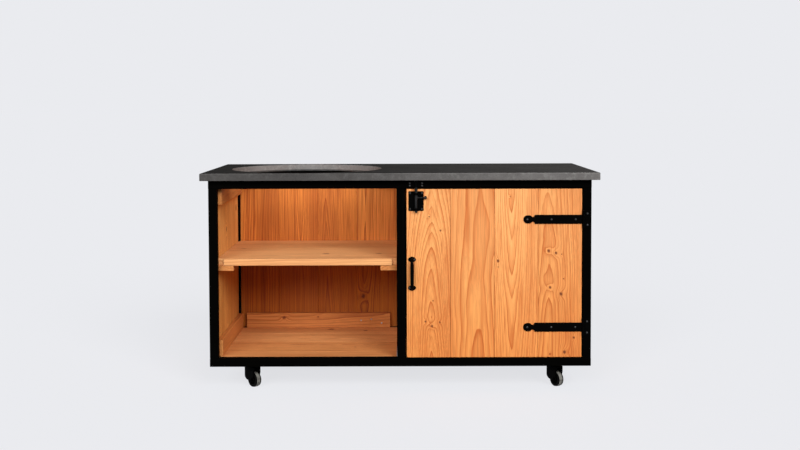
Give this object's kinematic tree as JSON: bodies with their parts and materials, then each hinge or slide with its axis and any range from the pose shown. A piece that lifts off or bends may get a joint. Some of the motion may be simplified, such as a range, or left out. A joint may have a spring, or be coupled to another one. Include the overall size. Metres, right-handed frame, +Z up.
{
  "type": "outdoor kitchen",
  "caption": "Wheeled outdoor kitchen: black tube frame, boarded panels, stone worktop with a round grill cut-out, open bay with shelf, and a cupboard door with strap hinges and slide bolt.",
  "frame": {"origin": "on the floor under the centre of the worktop", "axes": "+X to the right seen from the front, +Y to the back, +Z up"},
  "size_m": [1.63, 0.72, 0.9],
  "materials": {
    "frame_steel": "black powder coat",
    "stone": "honed dark grey stone",
    "inner_wood": "planed softwood, oiled",
    "door_wood": "planed softwood, oiled",
    "fittings": "black coated iron",
    "bolt_steel": "dark semi-gloss",
    "zinc": "bright zinc",
    "caster_steel": "black coated",
    "wheel_core": "moulded",
    "tread": "light grey, matt"
  },
  "bodies": {
    "frame": {"front_left_post": "frame_steel", "front_middle_post": "frame_steel", "front_right_post": "frame_steel", "back_left_post": "frame_steel", "back_middle_post": "frame_steel", "back_right_post": "frame_steel", "top_front_rail": "frame_steel", "top_back_rail": "frame_steel", "top_cross_rails": "frame_steel", "bottom_front_rail": "frame_steel", "bottom_back_rail": "frame_steel", "bottom_cross_rails": "frame_steel", "floor_bearers": "frame_steel", "worktop": "stone", "back_boards_left": "inner_wood", "back_boards_right": "inner_wood", "left_side_boards": "inner_wood", "right_side_boards": "inner_wood", "partition_boards": "inner_wood", "floor_boards_left": "inner_wood", "floor_boards_right": "inner_wood", "shelf_boards": "inner_wood", "side_battens": "inner_wood", "rear_battens": "inner_wood", "shelf_cleats": "inner_wood", "batten_screws": "zinc", "upper_hinge_leaf": "fittings", "lower_hinge_leaf": "fittings", "hinge_pins": "fittings", "bolt_keeper": "fittings", "frame_screws": "fittings", "caster_heads": "caster_steel", "caster_stems": "zinc"},
    "door": {"door_board_1": "door_wood", "door_board_2": "door_wood", "door_board_3": "door_wood", "door_board_4": "door_wood", "door_ledges": "inner_wood", "upper_hinge_strap": "fittings", "lower_hinge_strap": "fittings", "pull_handle": "fittings", "bolt_plate": "fittings", "door_screws": "fittings"},
    "bolt": {"bolt_rod": "bolt_steel"},
    "front_left_fork": {"fork_front_left": "caster_steel", "axle_front_left": "caster_steel"},
    "front_left_wheel": {"wheel_front_left": "wheel_core", "tyre_front_left": "tread"},
    "front_right_fork": {"fork_front_right": "caster_steel", "axle_front_right": "caster_steel"},
    "front_right_wheel": {"wheel_front_right": "wheel_core", "tyre_front_right": "tread"},
    "back_left_fork": {"fork_back_left": "caster_steel", "axle_back_left": "caster_steel"},
    "back_left_wheel": {"wheel_back_left": "wheel_core", "tyre_back_left": "tread"},
    "back_right_fork": {"fork_back_right": "caster_steel", "axle_back_right": "caster_steel"},
    "back_right_wheel": {"wheel_back_right": "wheel_core", "tyre_back_right": "tread"}
  },
  "joints": [
    {"name": "door_hinge", "type": "hinge", "parent": "frame", "child": "door", "pos_m": [0.751, -0.336, 0.485], "axis": [0, 0, 1], "range_deg": [0, 170]},
    {"name": "bolt_slide", "type": "slide", "parent": "door", "child": "bolt", "axis": [0, 0, -1], "range_m": [0, 0.036]},
    {"name": "front_left_swivel", "type": "hinge", "parent": "frame", "child": "front_left_fork", "pos_m": [-0.63, -0.24, 0.09], "axis": [0, 0, 1], "continuous": true},
    {"name": "front_left_roll", "type": "hinge", "parent": "front_left_fork", "child": "front_left_wheel", "pos_m": [-0.61091, -0.25909, 0.031], "axis": [0.7071, 0.7071, 0], "continuous": true},
    {"name": "front_right_swivel", "type": "hinge", "parent": "frame", "child": "front_right_fork", "pos_m": [0.64, -0.24, 0.09], "axis": [0, 0, 1], "continuous": true},
    {"name": "front_right_roll", "type": "hinge", "parent": "front_right_fork", "child": "front_right_wheel", "pos_m": [0.65391, -0.26314, 0.031], "axis": [0.8572, 0.515, 0], "continuous": true},
    {"name": "back_left_swivel", "type": "hinge", "parent": "frame", "child": "back_left_fork", "pos_m": [-0.63, 0.24, 0.09], "axis": [0, 0, 1], "continuous": true},
    {"name": "back_left_roll", "type": "hinge", "parent": "back_left_fork", "child": "back_left_wheel", "pos_m": [-0.60788, 0.25549, 0.031], "axis": [-0.5736, 0.8192, 0], "continuous": true},
    {"name": "back_right_swivel", "type": "hinge", "parent": "frame", "child": "back_right_fork", "pos_m": [0.64, 0.24, 0.09], "axis": [0, 0, 1], "continuous": true},
    {"name": "back_right_roll", "type": "hinge", "parent": "back_right_fork", "child": "back_right_wheel", "pos_m": [0.66212, 0.25549, 0.031], "axis": [-0.5736, 0.8192, 0], "continuous": true}
  ]
}
